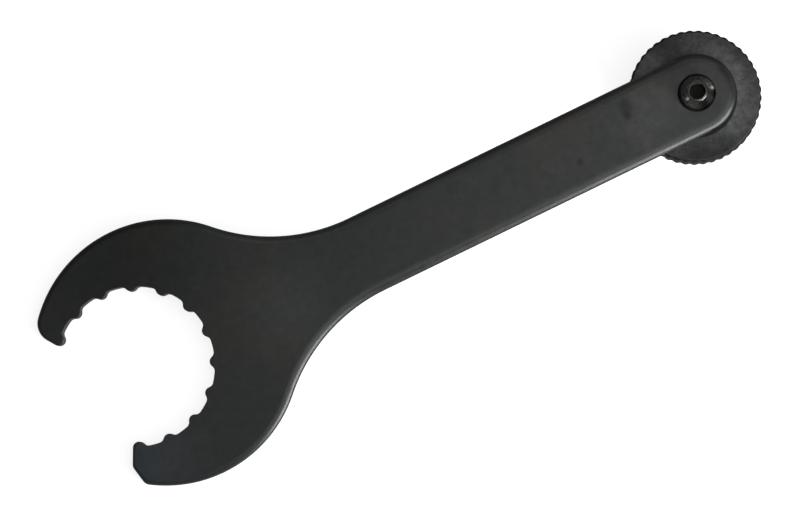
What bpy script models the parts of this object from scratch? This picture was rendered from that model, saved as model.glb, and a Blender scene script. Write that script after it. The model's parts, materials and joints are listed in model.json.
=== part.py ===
"""Crank installation wrench for a bicycle bottom bracket.

A flat steel wrench with an open, notched jaw at one end turns the cup of an external bottom
bracket. A knurled finger wheel under the other end turns on a screw through the handle, and
the star-shaped driver under the wheel tightens the crank's preload cap.

The pieces are modelled in the tool's own frame: the centre of the jaw's notched ring is the
origin, X runs along the handle to the pivot screw, and Z = 0 is the upper face of the plate.
An empty then lays the whole tool down as it rests on a table: on the two tips of the jaw and
on the rim of the driver.
"""
import math

import bmesh
import bpy
from mathutils import Matrix, Vector, kdtree

# Wrench plate, in metres
PLATE_THICKNESS = 0.0045
HANDLE_WIDTH = 0.0225
PIVOT_DISTANCE = 0.1737
NECK_RADIUS = 0.0500
JAW_WALL = 0.0148
JAW_OFFSET = 0.0096
JAW_SIDE_OFFSET = -0.0002

# How far the edges of each stretch of the plate are rolled round
HANDLE_EDGE_ROUND = 0.0020
JAW_EDGE_ROUND = 0.0013
TIP_EDGE_ROUND = 0.0008
TOOTH_EDGE_ROUND = 0.0002

# Notched ring: it grips a 44 mm cup that has a notch at each of 16 places round its edge
NOTCH_PLACES = 16
GROOVE_RADIUS = 0.02235
TOOTH_HEIGHT = 0.0014
TOOTH_NOSE_RADIUS = 0.0017
TOOTH_FILLET_RADIUS = 0.0017
TEETH_ABOVE_AXIS = 6
TEETH_BELOW_AXIS = 5

# Tips of the jaw, which leave the mouth open on one side of the ring
UPPER_SHOULDER_RADIUS = 0.0055
UPPER_SHOULDER_DEGREES = 139.4
LOWER_TIP_LENGTH = 0.0050
LOWER_TIP_RADIUS = 0.0020
LOWER_CORNER_RADIUS = 0.0025
LOWER_CORNER_DEGREES = 237.2

# Pivot: a button-head screw, a washer and a lock nut
SCREW_RADIUS = 0.0030
SCREW_TIP_STAND = 0.0003
SCREW_TIP_CHAMFER = 0.0005
HEAD_RADIUS = 0.00525
HEAD_HEIGHT = 0.0033
HEAD_RIM = 0.0005
HEAD_FLAT_MARGIN = 0.0004
SOCKET_ACROSS_FLATS = 0.0040
SOCKET_DEPTH = 0.0024
SOCKET_MOUTH_CHAMFER = 0.0003
WASHER_RADIUS = 0.0080
WASHER_THICKNESS = 0.0020
NUT_ACROSS_FLATS = 0.0100
NUT_HEIGHT = 0.0060
NUT_COLLAR_HEIGHT = 0.0013
NUT_COLLAR_STEP = 0.0006
NUT_COLLAR_CHAMFER = 0.0005
NUT_RECESS = 0.0007

# Finger wheel and the star driver moulded on its underside
WHEEL_RADIUS = 0.0187
WHEEL_THICKNESS = 0.0080
RIM_CHAMFER = 0.0008
KNURL_COUNT = 45
KNURL_START_DEGREES = 4.5
KNURL_DEPTH = 0.0003
KNURL_CREST_SHARE = 0.43
KNURL_VALLEY_SHARE = 0.10
DRIVER_LOBES = 8
DRIVER_WALL = 0.0010
DRIVER_LOBE_HEIGHT = 0.0010
DRIVER_LOBE_RADIUS = 0.0013
DRIVER_VALLEY_RADIUS = 0.0016
DRIVER_HEIGHT = 0.0050
DRIVER_CHAMFER = 0.0005
DRIVER_FILLET = 0.0006

# Clearances
SEAT_GAP = 0.0003
PIVOT_CLEARANCE = 0.0003
SCREW_HOLE_CLEARANCE = 0.0003
POCKET_CLEARANCE = 0.0003

# How finely round shapes are cut into straight pieces
OUTLINE_SAGITTA = 0.00003
STAR_SAGITTA = 0.00001
TURNED_STEPS = 48
DOME_STEPS = 5
EDGE_SEGMENTS = 3
FILLET_STEPS = 2
CUTTER_OVERRUN = 0.0010
WELD_DISTANCE = 0.000001

# Sizes that follow from the ones above
JAW_RADIUS = GROOVE_RADIUS + JAW_WALL
HALF_WIDTH = HANDLE_WIDTH / 2.0
PIVOT_HOLE_RADIUS = SCREW_RADIUS + PIVOT_CLEARANCE
SCREW_HOLE_RADIUS = SCREW_RADIUS + SCREW_HOLE_CLEARANCE
SOCKET_CORNER_RADIUS = SOCKET_ACROSS_FLATS / math.sqrt(3.0)
SOCKET_MOUTH_RADIUS = SOCKET_CORNER_RADIUS + SOCKET_MOUTH_CHAMFER
NUT_CORNER_RADIUS = NUT_ACROSS_FLATS / math.sqrt(3.0)
POCKET_CORNER_RADIUS = (NUT_ACROSS_FLATS + 2.0 * POCKET_CLEARANCE) / math.sqrt(3.0)
DRIVER_ROOT_RADIUS = POCKET_CORNER_RADIUS + DRIVER_WALL + DRIVER_CHAMFER
DRIVER_RADIUS = DRIVER_ROOT_RADIUS + DRIVER_LOBE_HEIGHT
KNURL_PITCH = math.tau * WHEEL_RADIUS / KNURL_COUNT

# Heights along the pivot, from the plate's upper face down
PLATE_UNDERSIDE = -PLATE_THICKNESS
WASHER_TOP = PLATE_UNDERSIDE - SEAT_GAP
WASHER_BOTTOM = WASHER_TOP - WASHER_THICKNESS
WHEEL_TOP = WASHER_BOTTOM - SEAT_GAP
WHEEL_BOTTOM = WHEEL_TOP - WHEEL_THICKNESS
DRIVER_END = WHEEL_BOTTOM - DRIVER_HEIGHT
NUT_BOTTOM = DRIVER_END + NUT_RECESS
NUT_TOP = NUT_BOTTOM + NUT_HEIGHT
POCKET_FLOOR = NUT_TOP + SEAT_GAP
SCREW_TIP = NUT_BOTTOM - SCREW_TIP_STAND

PIVOT = Vector((PIVOT_DISTANCE, 0.0, 0.0))
RING_CENTRE = Vector((0.0, 0.0))
MODEL_NAME = "crank_installation_wrench"


def clear_scene():
    """Remove every object, so that the model starts from nothing."""
    for old in list(bpy.data.objects):
        bpy.data.objects.remove(old, do_unlink=True)


def new_collection(name):
    """Add a collection to the scene and return it."""
    collection = bpy.data.collections.new(name)
    bpy.context.scene.collection.children.link(collection)
    return collection


def new_material(name, colour, roughness, metallic):
    """A plain Principled finish for one kind of piece."""
    material = bpy.data.materials.new(name)
    material.use_nodes = True
    shader = material.node_tree.nodes["Principled BSDF"]
    shader.inputs["Base Color"].default_value = (*colour, 1.0)
    shader.inputs["Roughness"].default_value = roughness
    shader.inputs["Metallic"].default_value = metallic
    return material


def polar(radius, angle):
    """The point at this distance and angle from the origin of the outline."""
    return Vector((radius * math.cos(angle), radius * math.sin(angle)))


def tangent_heading(start, end):
    """Heading of the straight line that leaves one signed circle and meets the next.

    A signed circle is (centre, radius): the radius is positive where the outline turns left
    round the circle, and negative where it turns right.
    """
    across = end[0] - start[0]
    sine = (end[1] - start[1]) / across.length
    lean = math.asin(max(-1.0, min(1.0, sine)))
    return math.atan2(across.y, across.x) - lean


def wrap_outline(circles, sagitta):
    """The closed outline that wraps round signed circles like a belt round pulleys.

    Returns its points, and for each point the circle that it lies on and how far round.
    """
    count = len(circles)
    headings = [tangent_heading(circles[i], circles[(i + 1) % count]) for i in range(count)]
    points = []
    places = []
    for i, (centre, radius) in enumerate(circles):
        turn = (headings[i] - headings[i - 1]) % math.tau
        if radius < 0.0:
            turn -= math.tau
        step = 2.0 * math.acos(1.0 - min(sagitta / abs(radius), 1.0))
        pieces = max(1, math.ceil(abs(turn) / step))
        for k in range(pieces + 1):
            heading = headings[i - 1] + turn * k / pieces
            point = centre + radius * Vector((math.sin(heading), -math.cos(heading)))
            if not points or (point - points[-1]).length > WELD_DISTANCE:
                points.append(point)
                places.append((i, k / pieces))
    if (points[0] - points[-1]).length < WELD_DISTANCE:
        points.pop()
        places.pop()
    return points, places


def ring_circles():
    """Signed circles of the teeth and grooves, from the upper tip round to the lower tip."""
    pitch = math.tau / NOTCH_PLACES
    nose_distance = GROOVE_RADIUS - TOOTH_HEIGHT + TOOTH_NOSE_RADIUS
    fillet_distance = GROOVE_RADIUS - TOOTH_FILLET_RADIUS
    reach = TOOTH_NOSE_RADIUS + TOOTH_FILLET_RADIUS
    sides = nose_distance ** 2 + fillet_distance ** 2 - reach ** 2
    spread = math.acos(sides / (2.0 * nose_distance * fillet_distance))
    circles = []
    for place in range(TEETH_ABOVE_AXIS, -TEETH_BELOW_AXIS - 1, -1):
        angle = place * pitch
        if place < TEETH_ABOVE_AXIS:
            circles.append((RING_CENTRE, -GROOVE_RADIUS))
            circles.append((polar(fillet_distance, angle + spread), -TOOTH_FILLET_RADIUS))
        circles.append((polar(nose_distance, angle), TOOTH_NOSE_RADIUS))
        if place > -TEETH_BELOW_AXIS:
            circles.append((polar(fillet_distance, angle - spread), -TOOTH_FILLET_RADIUS))
    return circles


def plate_circles():
    """Signed circles of the wrench's outline, anticlockwise from the handle's end.

    Each comes with how far the plate's edges are rolled round beside it.
    """
    jaw_centre = Vector((JAW_OFFSET, JAW_SIDE_OFFSET))
    necks = []
    for side in (1.0, -1.0):
        neck_y = side * (HALF_WIDTH + NECK_RADIUS)
        reach = math.sqrt((JAW_RADIUS + NECK_RADIUS) ** 2 - (neck_y - jaw_centre.y) ** 2)
        necks.append(Vector((jaw_centre.x + reach, neck_y)))
    shoulder_angle = math.radians(UPPER_SHOULDER_DEGREES)
    corner_angle = math.radians(LOWER_CORNER_DEGREES)
    shoulder = jaw_centre + polar(JAW_RADIUS - UPPER_SHOULDER_RADIUS, shoulder_angle)
    corner = jaw_centre + polar(JAW_RADIUS - LOWER_CORNER_RADIUS, corner_angle)
    lower_angle = -TEETH_BELOW_AXIS * math.tau / NOTCH_PLACES
    lower_tip = polar(GROOVE_RADIUS + LOWER_TIP_LENGTH, lower_angle)
    ring = ring_circles()
    circles = [
        (PIVOT.to_2d(), HALF_WIDTH),
        (necks[0], -NECK_RADIUS),
        (jaw_centre, JAW_RADIUS),
        (shoulder, UPPER_SHOULDER_RADIUS),
        *ring,
        (lower_tip, LOWER_TIP_RADIUS),
        (corner, LOWER_CORNER_RADIUS),
        (jaw_centre, JAW_RADIUS),
        (necks[1], -NECK_RADIUS),
    ]
    tip_nose = (TIP_EDGE_ROUND + TOOTH_EDGE_ROUND) / 2.0
    rounds = [
        HANDLE_EDGE_ROUND,
        HANDLE_EDGE_ROUND,
        JAW_EDGE_ROUND,
        TIP_EDGE_ROUND,
        tip_nose,
        *[TOOTH_EDGE_ROUND] * (len(ring) - 2),
        tip_nose,
        TIP_EDGE_ROUND,
        TIP_EDGE_ROUND,
        JAW_EDGE_ROUND,
        HANDLE_EDGE_ROUND,
    ]
    return circles, rounds


def blended(values, place):
    """The value at a place on the outline, blended evenly from one circle to the next."""
    i, share = place
    before = (values[i - 1] + values[i]) / 2.0
    after = (values[i] + values[(i + 1) % len(values)]) / 2.0
    return before + (after - before) * share


def mesh_object(name, mesh, collection):
    """Put a mesh in the scene as a named object."""
    piece = bpy.data.objects.new(name, mesh)
    collection.objects.link(piece)
    return piece


def extruded(name, points, thickness, collection):
    """A flat outline extruded from Z = -thickness up to Z = 0, as one mesh with flat caps."""
    curve = bpy.data.curves.new(name, "CURVE")
    curve.dimensions = "2D"
    curve.fill_mode = "BOTH"
    curve.extrude = thickness / 2.0
    spline = curve.splines.new("POLY")
    spline.points.add(len(points) - 1)
    for spot, point in zip(spline.points, points):
        spot.co = (point.x, point.y, 0.0, 1.0)
    spline.use_cyclic_u = True
    drawn = mesh_object(name + "_outline", curve, collection)
    depsgraph = bpy.context.evaluated_depsgraph_get()
    mesh = bpy.data.meshes.new_from_object(drawn.evaluated_get(depsgraph))
    bpy.data.objects.remove(drawn, do_unlink=True)
    bm = bmesh.new()
    bm.from_mesh(mesh)
    bmesh.ops.remove_doubles(bm, verts=bm.verts[:], dist=WELD_DISTANCE)
    bmesh.ops.dissolve_limit(bm, angle_limit=math.radians(0.2), verts=[], edges=bm.edges[:])
    bmesh.ops.translate(bm, verts=bm.verts[:], vec=(0.0, 0.0, -thickness / 2.0))
    bmesh.ops.recalc_face_normals(bm, faces=bm.faces[:])
    bm.to_mesh(mesh)
    bm.free()
    mesh.name = name
    return mesh_object(name, mesh, collection)


def lofted(name, sections, collection):
    """A closed solid through sections of equally many points: a list of (height, points)."""
    bm = bmesh.new()
    rings = []
    for height, points in sections:
        rings.append([bm.verts.new((point.x, point.y, height)) for point in points])
    for low, high in zip(rings, rings[1:]):
        for i, corner in enumerate(low):
            bm.faces.new((low[i - 1], corner, high[i], high[i - 1]))
    bm.faces.new(reversed(rings[0]))
    bm.faces.new(rings[-1])
    bmesh.ops.recalc_face_normals(bm, faces=bm.faces[:])
    mesh = bpy.data.meshes.new(name)
    bm.to_mesh(mesh)
    bm.free()
    return mesh_object(name, mesh, collection)


def turned(name, profile, closed, collection):
    """A turned piece: a profile of (radius, height) swept round Z with a Screw modifier."""
    bm = bmesh.new()
    corners = [bm.verts.new((radius, 0.0, height)) for radius, height in profile]
    for start, end in zip(corners, corners[1:]):
        bm.edges.new((start, end))
    if closed:
        bm.edges.new((corners[-1], corners[0]))
    mesh = bpy.data.meshes.new(name)
    bm.to_mesh(mesh)
    bm.free()
    piece = mesh_object(name, mesh, collection)
    sweep = piece.modifiers.new("turn", "SCREW")
    sweep.axis = "Z"
    sweep.angle = math.tau
    sweep.steps = TURNED_STEPS
    sweep.render_steps = TURNED_STEPS
    sweep.use_merge_vertices = True
    sweep.merge_threshold = WELD_DISTANCE
    return piece


def prism(name, sides, radius, bottom, top, collection):
    """A round or many-sided bar along Z, made from a cone primitive with equal ends."""
    bm = bmesh.new()
    height = top - bottom
    bmesh.ops.create_cone(bm, cap_ends=True, segments=sides, radius1=radius, radius2=radius, depth=height)
    bmesh.ops.translate(bm, verts=bm.verts[:], vec=(0.0, 0.0, (top + bottom) / 2.0))
    mesh = bpy.data.meshes.new(name)
    bm.to_mesh(mesh)
    bm.free()
    return mesh_object(name, mesh, collection)


def combine(piece, tool, operation):
    """Cut, join or trim a piece with another mesh, and keep that mesh as a hidden guide."""
    boolean = piece.modifiers.new(tool.name, "BOOLEAN")
    boolean.operation = operation
    boolean.solver = "EXACT"
    boolean.object = tool
    tool.hide_render = True
    tool.display_type = "WIRE"


def inset(points, distance):
    """The outline drawn in towards its own centre by a distance."""
    return [point * (1.0 - distance / point.length) for point in points]


def shade(piece, material, sharp_degrees):
    """Give a piece its finish, with smooth round faces and sharp real edges."""
    piece.data.materials.append(material)
    piece.data.shade_smooth()
    piece.data.set_sharp_from_angle(angle=math.radians(sharp_degrees))


def weigh_edges(body, points, edge_rounds):
    """Write on each rim edge how far it is rolled, as a share of the widest rolling."""
    nearest = kdtree.KDTree(len(points))
    for i, point in enumerate(points):
        nearest.insert(point.to_3d(), i)
    nearest.balance()
    bm = bmesh.new()
    bm.from_mesh(body.data)
    weight = bm.edges.layers.float.new("bevel_weight_edge")
    for edge in bm.edges:
        ends = [vert.co for vert in edge.verts]
        if abs(ends[0].z - ends[1].z) < WELD_DISTANCE:
            shares = [edge_rounds[nearest.find((end.x, end.y, 0.0))[1]] for end in ends]
            edge[weight] = sum(shares) / 2.0 / max(edge_rounds)
    bm.to_mesh(body.data)
    bm.free()


def make_wrench_body(parts, cutters):
    """The steel plate: handle, neck and open jaw in one outline, with its edges rolled round."""
    circles, rounds = plate_circles()
    points, places = wrap_outline(circles, OUTLINE_SAGITTA)
    body = extruded("wrench_body", points, PLATE_THICKNESS, parts)
    wall_limit = 0.45 * PLATE_THICKNESS
    edge_rounds = [min(wall_limit, blended(rounds, place)) for place in places]
    weigh_edges(body, points, edge_rounds)
    rolled = body.modifiers.new("rolled_edges", "BEVEL")
    rolled.limit_method = "WEIGHT"
    rolled.width = max(edge_rounds)
    rolled.segments = EDGE_SEGMENTS
    rolled.use_clamp_overlap = False
    hole_bottom = PLATE_UNDERSIDE - CUTTER_OVERRUN
    hole = prism("pivot_hole", TURNED_STEPS, PIVOT_HOLE_RADIUS, hole_bottom, CUTTER_OVERRUN, cutters)
    hole.location = PIVOT
    combine(body, hole, "DIFFERENCE")
    return body


def make_pivot_screw(parts, cutters):
    """Button-head screw with a hexagon socket; its head turns on the plate's upper face."""
    seat = SEAT_GAP
    top = seat + HEAD_HEIGHT
    rim = seat + HEAD_RIM
    flat = SOCKET_MOUTH_RADIUS + HEAD_FLAT_MARGIN
    dome_centre = (flat ** 2 + top ** 2 - HEAD_RADIUS ** 2 - rim ** 2) / (2.0 * (top - rim))
    dome = math.hypot(flat, top - dome_centre)
    top_angle = math.atan2(top - dome_centre, flat)
    rim_angle = math.atan2(rim - dome_centre, HEAD_RADIUS)
    angles = [top_angle + (rim_angle - top_angle) * k / DOME_STEPS for k in range(DOME_STEPS + 1)]
    profile = [
        (0.0, top),
        *[(dome * math.cos(angle), dome_centre + dome * math.sin(angle)) for angle in angles],
        (HEAD_RADIUS, seat),
        (SCREW_RADIUS, seat),
        (SCREW_RADIUS, SCREW_TIP + SCREW_TIP_CHAMFER),
        (SCREW_RADIUS - SCREW_TIP_CHAMFER, SCREW_TIP),
        (0.0, SCREW_TIP),
    ]
    screw = turned("pivot_screw", profile, False, parts)
    cutter_top = top + CUTTER_OVERRUN
    socket = prism("hex_socket", 6, SOCKET_CORNER_RADIUS, top - SOCKET_DEPTH, cutter_top, cutters)
    mouth_profile = [
        (0.0, cutter_top),
        (SOCKET_MOUTH_RADIUS + CUTTER_OVERRUN, cutter_top),
        (SOCKET_MOUTH_RADIUS - SOCKET_DEPTH / 2.0, top - SOCKET_DEPTH / 2.0),
        (0.0, top - SOCKET_DEPTH / 2.0),
    ]
    mouth = turned("socket_mouth", mouth_profile, False, cutters)
    for piece in (screw, socket, mouth):
        piece.location = PIVOT
    combine(screw, socket, "DIFFERENCE")
    combine(screw, mouth, "DIFFERENCE")
    return screw


def make_spacer_washer(parts):
    """Thin washer that keeps the wheel off the plate."""
    profile = [
        (PIVOT_HOLE_RADIUS, WASHER_TOP),
        (WASHER_RADIUS, WASHER_TOP),
        (WASHER_RADIUS, WASHER_BOTTOM),
        (PIVOT_HOLE_RADIUS, WASHER_BOTTOM),
    ]
    washer = turned("spacer_washer", profile, True, parts)
    washer.location = PIVOT
    return washer


def make_lock_nut(parts, cutters):
    """Hexagon lock nut, collar end down, trapped in the pocket under the wheel."""
    half_flats = NUT_ACROSS_FLATS / 2.0
    collar = half_flats - NUT_COLLAR_STEP
    clear_of_corners = 2.0 * NUT_CORNER_RADIUS - half_flats
    drop = (clear_of_corners - half_flats) / math.sqrt(3.0)
    flats_end = NUT_BOTTOM + NUT_COLLAR_HEIGHT
    profile = [
        (SCREW_HOLE_RADIUS, NUT_TOP),
        (half_flats, NUT_TOP),
        (clear_of_corners, NUT_TOP - drop),
        (clear_of_corners, flats_end + drop),
        (half_flats, flats_end),
        (collar, flats_end),
        (collar, NUT_BOTTOM + NUT_COLLAR_CHAMFER),
        (collar - NUT_COLLAR_CHAMFER, NUT_BOTTOM),
        (SCREW_HOLE_RADIUS, NUT_BOTTOM),
    ]
    nut = turned("lock_nut", profile, True, parts)
    bar_bottom = NUT_BOTTOM - CUTTER_OVERRUN
    bar = prism("nut_hexagon", 6, NUT_CORNER_RADIUS, bar_bottom, NUT_TOP + CUTTER_OVERRUN, cutters)
    for piece in (nut, bar):
        piece.location = PIVOT
    combine(nut, bar, "INTERSECT")
    return nut


def lobed_outline(count, start, crest, valley, crest_radius, valley_radius, sagitta):
    """Points of a round outline with equal lobes, the first at the start angle."""
    pitch = math.tau / count
    circles = []
    for k in range(count):
        angle = start + k * pitch
        circles.append((polar(crest - crest_radius, angle), crest_radius))
        circles.append((polar(valley + valley_radius, angle + pitch / 2.0), -valley_radius))
    return wrap_outline(circles, sagitta)[0]


def knurled_disc(parts):
    """The finger wheel's disc: knurled round its rim, and turned to a bevel at both faces."""
    knurled = lobed_outline(
        KNURL_COUNT,
        math.radians(KNURL_START_DEGREES),
        WHEEL_RADIUS,
        WHEEL_RADIUS - KNURL_DEPTH,
        KNURL_CREST_SHARE * KNURL_PITCH,
        KNURL_VALLEY_SHARE * KNURL_PITCH,
        OUTLINE_SAGITTA,
    )
    face = [point.normalized() * (WHEEL_RADIUS - RIM_CHAMFER) for point in knurled]
    sections = [
        (WHEEL_BOTTOM, face),
        (WHEEL_BOTTOM + RIM_CHAMFER, knurled),
        (WHEEL_TOP - RIM_CHAMFER, knurled),
        (WHEEL_TOP, face),
    ]
    return lofted("preload_wheel", sections, parts)


def star_driver(cutters):
    """The eight-lobed driver: chamfered at its end, and flared where it grows from the wheel."""
    star = lobed_outline(
        DRIVER_LOBES,
        0.0,
        DRIVER_RADIUS,
        DRIVER_ROOT_RADIUS,
        DRIVER_LOBE_RADIUS,
        DRIVER_VALLEY_RADIUS,
        STAR_SAGITTA,
    )
    sections = [
        (DRIVER_END, inset(star, DRIVER_CHAMFER)),
        (DRIVER_END + DRIVER_CHAMFER, star),
    ]
    for k in range(FILLET_STEPS + 1):
        angle = k * math.pi / 2.0 / FILLET_STEPS
        flare = DRIVER_FILLET * (1.0 - math.cos(angle))
        drop = DRIVER_FILLET * (1.0 - math.sin(angle))
        sections.append((WHEEL_BOTTOM - drop, inset(star, -flare)))
    sections.append((WHEEL_BOTTOM + CUTTER_OVERRUN, inset(star, -DRIVER_FILLET)))
    return lofted("star_driver", sections, cutters)


def make_preload_wheel(parts, cutters):
    """Finger wheel and driver, moulded in one piece, with the nut's pocket and the screw's hole."""
    wheel = knurled_disc(parts)
    driver = star_driver(cutters)
    bore_top = WHEEL_TOP + CUTTER_OVERRUN
    pocket_bottom = DRIVER_END - CUTTER_OVERRUN
    bore = prism("screw_bore", TURNED_STEPS, SCREW_HOLE_RADIUS, pocket_bottom, bore_top, cutters)
    pocket = prism("nut_pocket", 6, POCKET_CORNER_RADIUS, pocket_bottom, POCKET_FLOOR, cutters)
    for piece in (wheel, driver, bore, pocket):
        piece.location = PIVOT
    combine(wheel, driver, "UNION")
    combine(wheel, pocket, "DIFFERENCE")
    combine(wheel, bore, "DIFFERENCE")
    return wheel


def shape_points(piece):
    """Every corner of a piece, as its modifiers leave it, in the scene's frame."""
    evaluated = piece.evaluated_get(bpy.context.evaluated_depsgraph_get())
    return [evaluated.matrix_world @ corner.co for corner in evaluated.data.vertices]


def resting_matrix(plate, wheel, pieces):
    """The turn and shift that lay the tool on Z = 0, on its two jaw tips and its driver."""
    jaw = [point for point in shape_points(plate) if point.x < 0.0]
    upper_tip = [point for point in jaw if point.y > 0.0]
    lower_tip = [point for point in jaw if point.y < 0.0]
    driver = shape_points(wheel)
    up = Vector((DRIVER_END, 0.0, PIVOT_DISTANCE)).normalized()
    for _ in range(12):
        touching = [min(group, key=up.dot) for group in (upper_tip, lower_tip, driver)]
        up = (touching[1] - touching[0]).cross(touching[2] - touching[0]).normalized()
        if up.z < 0.0:
            up.negate()
    level = up.rotation_difference(Vector((0.0, 0.0, 1.0))).to_matrix().to_4x4()
    along = level @ Vector((1.0, 0.0, 0.0))
    lay = Matrix.Rotation(-math.atan2(along.y, along.x), 4, "Z") @ level
    corners = [lay @ point for piece in pieces for point in shape_points(piece)]
    middle_x = (min(c.x for c in corners) + max(c.x for c in corners)) / 2.0
    middle_y = (min(c.y for c in corners) + max(c.y for c in corners)) / 2.0
    lowest = min(c.z for c in corners)
    return Matrix.Translation((-middle_x, -middle_y, -lowest)) @ lay


def main():
    clear_scene()
    parts = new_collection(MODEL_NAME)
    cutters = new_collection("cutters")
    body = make_wrench_body(parts, cutters)
    screw = make_pivot_screw(parts, cutters)
    washer = make_spacer_washer(parts)
    nut = make_lock_nut(parts, cutters)
    wheel = make_preload_wheel(parts, cutters)
    shade(body, new_material("black_plate", (0.030, 0.031, 0.030), 0.42, 0.0), 40.0)
    shade(screw, new_material("black_steel", (0.020, 0.020, 0.019), 0.30, 0.6), 40.0)
    shade(washer, new_material("white_nylon", (0.62, 0.61, 0.57), 0.45, 0.0), 40.0)
    shade(nut, new_material("zinc_steel", (0.52, 0.53, 0.54), 0.35, 1.0), 25.0)
    shade(wheel, new_material("dark_nylon", (0.038, 0.040, 0.041), 0.50, 0.0), 30.0)

    bpy.context.view_layer.update()
    laid = resting_matrix(body, wheel, [body, screw, washer, nut, wheel])
    rest = bpy.data.objects.new("resting_pose", None)
    for piece in [*parts.objects, *cutters.objects]:
        piece.parent = rest
    parts.objects.link(rest)
    rest.matrix_world = laid
    bpy.context.view_layer.update()


main()
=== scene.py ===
# %% [markdown]
# # A crank installation wrench
# This lesson dresses a small bicycle tool: a flat steel wrench with an open, notched jaw, and a
# knurled finger wheel on a screw at the end of its handle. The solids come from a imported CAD
# model, and each one is replaced here by a finer mesh with its own finish.

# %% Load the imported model
import json
import math

import bmesh
import bpy
from mathutils import Matrix, Vector, kdtree


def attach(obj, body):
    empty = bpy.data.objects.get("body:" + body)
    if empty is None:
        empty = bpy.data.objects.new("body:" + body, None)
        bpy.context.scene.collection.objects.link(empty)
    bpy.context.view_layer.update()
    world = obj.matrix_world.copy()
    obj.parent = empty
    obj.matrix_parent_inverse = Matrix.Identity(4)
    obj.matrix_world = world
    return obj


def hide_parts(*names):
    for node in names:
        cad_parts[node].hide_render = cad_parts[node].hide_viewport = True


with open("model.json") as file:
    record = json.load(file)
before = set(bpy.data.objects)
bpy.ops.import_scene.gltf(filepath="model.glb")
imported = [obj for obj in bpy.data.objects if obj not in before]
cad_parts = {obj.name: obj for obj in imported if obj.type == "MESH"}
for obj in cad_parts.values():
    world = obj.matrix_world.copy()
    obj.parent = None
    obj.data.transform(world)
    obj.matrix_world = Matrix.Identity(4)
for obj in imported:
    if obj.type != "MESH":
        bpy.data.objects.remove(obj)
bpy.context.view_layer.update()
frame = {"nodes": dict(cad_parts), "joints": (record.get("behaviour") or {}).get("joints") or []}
print("CAD nodes:", sorted(frame["nodes"]))

# %% [markdown]
# ## The tool's own frame
# The wrench lies tilted, on the two tips of its jaw and on the driver under the wheel. It is
# easier to model it flat and to lay it down at the end. The wheel's joint gives the frame for
# that: its point is the pivot on the plate's upper face, and its axis points up from the plate.

# %% Find the tilted frame from the wheel's joint
spin_joint = next(joint for joint in frame["joints"] if joint["name"] == "driver_spin")
plate_up = Vector(spin_joint["axis"]).normalized()
handle_way = Vector((plate_up.z, 0.0, -plate_up.x)).normalized()
across_way = plate_up.cross(handle_way)
lay_down = Matrix((handle_way, across_way, plate_up)).transposed().to_4x4()
lay_down.translation = Vector(spin_joint["pos_m"])
print("plate leans", round(math.degrees(plate_up.angle(Vector((0, 0, 1)))), 2), "degrees")

# %% [markdown]
# ## Helpers for every piece
# A piece is drawn in a bmesh in the tool's frame, with the pivot at the origin. `piece_from`
# lays it down and makes the object. The object itself stays at the world's origin, and its place
# is in its mesh, so that patterns on Object coordinates don't slide when it is exported. A new
# object is in the file but not yet in the scene, so `in_scene` makes it and links it there.

# %% Turn a bmesh into a finished piece
WELD = 1e-6


def in_scene(name, data):
    """Makes an object from its data and links it to the scene."""
    made = bpy.data.objects.new(name, data)
    bpy.context.scene.collection.objects.link(made)
    return made


def piece_from(name, bm, sharp_degrees):
    """Makes an object from a bmesh in the tool's frame, shaded smooth between its real edges."""
    bmesh.ops.remove_doubles(bm, verts=bm.verts[:], dist=WELD)
    bmesh.ops.recalc_face_normals(bm, faces=bm.faces[:])
    bmesh.ops.transform(bm, matrix=lay_down, verts=bm.verts[:])
    mesh = bpy.data.meshes.new(name)
    bm.to_mesh(mesh)
    bm.free()
    mesh.shade_smooth()
    mesh.set_sharp_from_angle(angle=math.radians(sharp_degrees))
    piece = in_scene(name, mesh)
    even = piece.modifiers.new("even_shading", "WEIGHTED_NORMAL")
    even.keep_sharp = True
    return piece


def stands_for(piece, node, body, finish):
    """Puts a piece in place of a CAD node, on the body that the node rides on."""
    piece.data.materials.append(finish)
    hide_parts(node)
    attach(piece, body)
    print(piece.name, "stands for", node, "with", len(piece.data.polygons), "faces")


# %% [markdown]
# A turned piece, such as a screw, starts as half of its outline. `spun` draws that outline and
# turns it round the axis with the spin operator. With `use_merge` the last column joins the first.

# %% Turn a profile round the axis
def spun(bm, profile, steps):
    """Turns a profile of (radius, height) points round Z and returns its new faces' corners."""
    corners = [bm.verts.new((radius, 0.0, height)) for radius, height in profile]
    edges = [bm.edges.new(pair) for pair in zip(corners, corners[1:])]
    before = set(bm.verts) - set(corners)
    bmesh.ops.spin(
        bm,
        geom=corners + edges,
        cent=(0, 0, 0),
        axis=(0, 0, 1),
        angle=math.tau,
        steps=steps,
        use_merge=True,
    )
    return [vert for vert in bm.verts if vert not in before]


def arc(centre, radius, start, end, pieces):
    """Points of (radius, height) along an arc, with its angles in degrees."""
    points = []
    for k in range(pieces + 1):
        angle = math.radians(start + (end - start) * k / pieces)
        points.append((centre[0] + radius * math.cos(angle), centre[1] + radius * math.sin(angle)))
    return points


# %% [markdown]
# ## An outline like a belt round pulleys
# The plate's outline is made of arcs joined by straight lines that touch them. So it is given as
# a list of circles, each with a sign: positive where the outline turns left round the circle, and
# negative where it turns right, as in a groove. `belt` puts one vertex where the belt meets a
# circle and spins it round that circle's centre, which draws the arc as a chain of edges.

# %% Draw a belt outline
TOUCHING = 0.9999


def heading(start, end):
    """Direction of the straight line between two signed circles, (centre, radius)."""
    across = end[0] - start[0]
    sine = (end[1] - start[1]) / across.length
    if abs(sine) > TOUCHING:
        sine = math.copysign(1.0, sine)
    return math.atan2(across.y, across.x) - math.asin(sine)


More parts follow.
